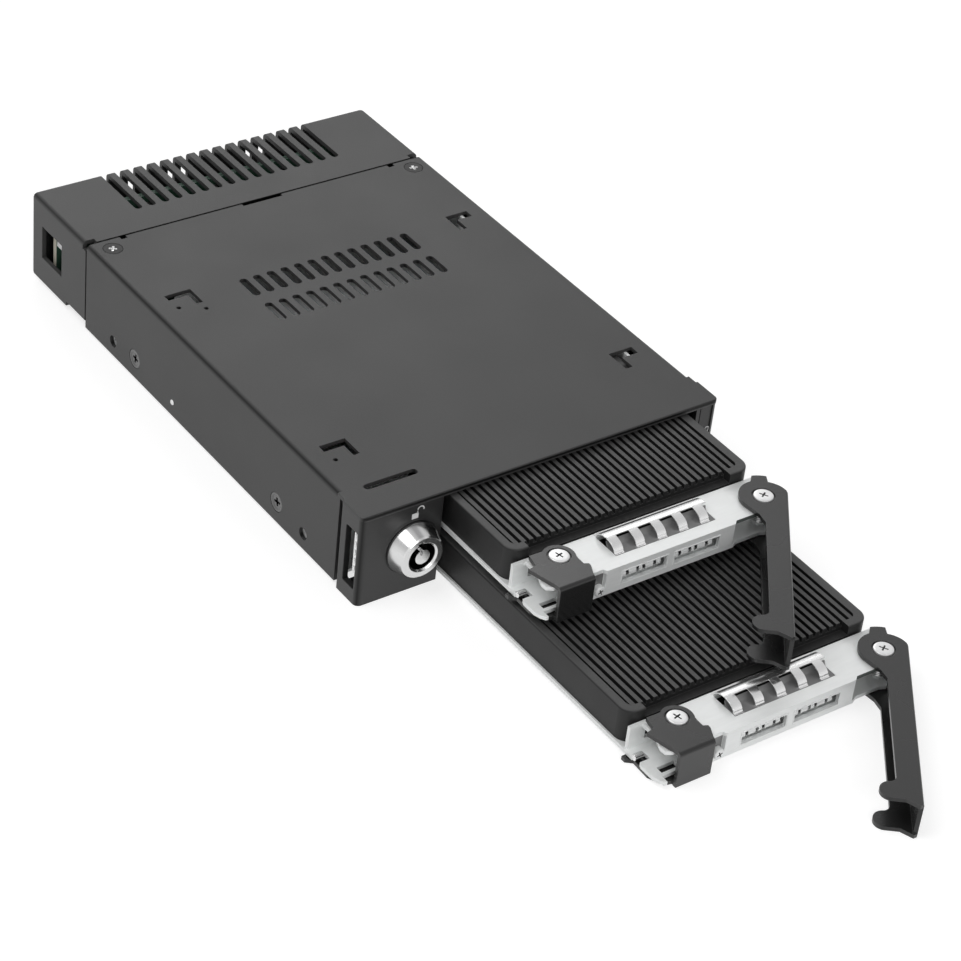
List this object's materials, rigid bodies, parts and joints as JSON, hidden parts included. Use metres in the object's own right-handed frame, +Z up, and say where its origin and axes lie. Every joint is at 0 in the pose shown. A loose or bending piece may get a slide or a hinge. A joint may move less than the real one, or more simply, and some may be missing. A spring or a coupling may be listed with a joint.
{
  "type": "hot swap drive cage",
  "caption": "Slim hot swap drive cage: flat vented metal housing with a front key lock and slide-out finned module trays, each with a swing lever and a thumb latch.",
  "frame": {"origin": "centre of the four bottom mounting holes, on the underside of the base plate", "axes": "+Z up out of the cover, -Y out of the front face, +X to the right of someone facing the front"},
  "size_m": [0.1026, 0.2806, 0.0254],
  "materials": {
    "cover_paint": "satin fine-textured dark grey powder coat",
    "housing_paint": "satin fine-textured dark grey powder coat",
    "bezel_paint": "satin black",
    "handle_paint": "satin black e-coat",
    "lid_anodised": "black anodised, satin",
    "zinc_plate": "bright zinc plated sheet",
    "spring_steel": "bright",
    "lock_chrome": "polished",
    "bright_screw": "bright nickel",
    "black_screw": "black oxide",
    "board_green": "solder resist green",
    "socket_plastic": "black moulded",
    "smoke_plastic": "dark translucent",
    "chip_black": "moulded",
    "pad_grey": "soft"
  },
  "bodies": {
    "cage": {"top_cover": "cover_paint", "base_plate": "zinc_plate", "rear_housing": "housing_paint", "bezel_left": "bezel_paint", "bezel_right": "bezel_paint", "left_guide": "zinc_plate", "right_guide": "zinc_plate", "bay_shelf": "zinc_plate", "backplane_board": "board_green", "tray_sockets": "socket_plastic", "rear_board": "board_green", "board_link": "board_green", "data_sockets": "socket_plastic", "power_socket": "socket_plastic", "indicator_board": "board_green", "light_guide": "smoke_plastic", "grounding_spring": "spring_steel", "lock_body": "lock_chrome", "lock_nut": "zinc_plate", "bar_rivets": "zinc_plate", "cover_screws": "black_screw", "side_screws": "black_screw"},
    "lock_core": {"lock_plug": "lock_chrome", "lock_cam": "zinc_plate"},
    "lock_slider": {"lock_bar": "zinc_plate"},
    "upper_tray": {"upper_tray_base": "zinc_plate", "upper_bracket": "zinc_plate", "upper_lid": "lid_anodised", "upper_carrier_board": "board_green", "upper_ssd_module": "chip_black", "upper_thermal_pad": "pad_grey", "upper_tray_plug": "socket_plastic", "upper_contact_springs": "spring_steel", "upper_pivot_screws": "bright_screw", "upper_pivot_sleeves": "zinc_plate", "upper_tray_screws": "bright_screw", "upper_return_springs": "spring_steel"},
    "upper_lever": {"upper_lever": "handle_paint"},
    "upper_latch": {"upper_latch": "handle_paint"},
    "lower_tray": {"lower_tray_base": "zinc_plate", "lower_bracket": "zinc_plate", "lower_lid": "lid_anodised", "lower_carrier_board": "board_green", "lower_ssd_module": "chip_black", "lower_thermal_pad": "pad_grey", "lower_tray_plug": "socket_plastic", "lower_contact_springs": "spring_steel", "lower_pivot_screws": "bright_screw", "lower_pivot_sleeves": "zinc_plate", "lower_tray_screws": "bright_screw", "lower_return_springs": "spring_steel"},
    "lower_lever": {"lower_lever": "handle_paint"},
    "lower_latch": {"lower_latch": "handle_paint"}
  },
  "joints": [
    {"name": "lock_turn", "type": "hinge", "parent": "cage", "child": "lock_core", "pos_m": [-0.0369, -0.0691, 0.0126], "axis": [0, 1, 0], "range_deg": [0, 90]},
    {"name": "lock_slide", "type": "slide", "parent": "cage", "child": "lock_slider", "axis": [1, 0, 0], "range_m": [0, 0.00425]},
    {"name": "upper_tray_slide", "type": "slide", "parent": "cage", "child": "upper_tray", "axis": [0, -1, 0], "range_m": [-0.0383, 0.06]},
    {"name": "upper_lever_swing", "type": "hinge", "parent": "upper_tray", "child": "upper_lever", "pos_m": [0.0392, -0.1016, 0.014], "axis": [0, 0, 1], "range_deg": [-52, 8]},
    {"name": "upper_latch_press", "type": "hinge", "parent": "upper_tray", "child": "upper_latch", "pos_m": [-0.017, -0.0974, 0.014], "axis": [0, 0, 1], "range_deg": [-8, 0], "stiffness_Nm_per_rad": 0.05, "springref_deg": 3.44},
    {"name": "lower_tray_slide", "type": "slide", "parent": "cage", "child": "lower_tray", "axis": [0, -1, 0], "range_m": [-0.0843, 0.014]},
    {"name": "lower_lever_swing", "type": "hinge", "parent": "lower_tray", "child": "lower_lever", "pos_m": [0.0392, -0.1476, 0.0013], "axis": [0, 0, 1], "range_deg": [-52, 8]},
    {"name": "lower_latch_press", "type": "hinge", "parent": "lower_tray", "child": "lower_latch", "pos_m": [-0.017, -0.1434, 0.0013], "axis": [0, 0, 1], "range_deg": [-8, 0], "stiffness_Nm_per_rad": 0.05, "springref_deg": 3.44}
  ],
  "couplings": [
    {"joint": "lock_turn", "follows": "lock_slide", "rad_per_m": 369.59}
  ]
}
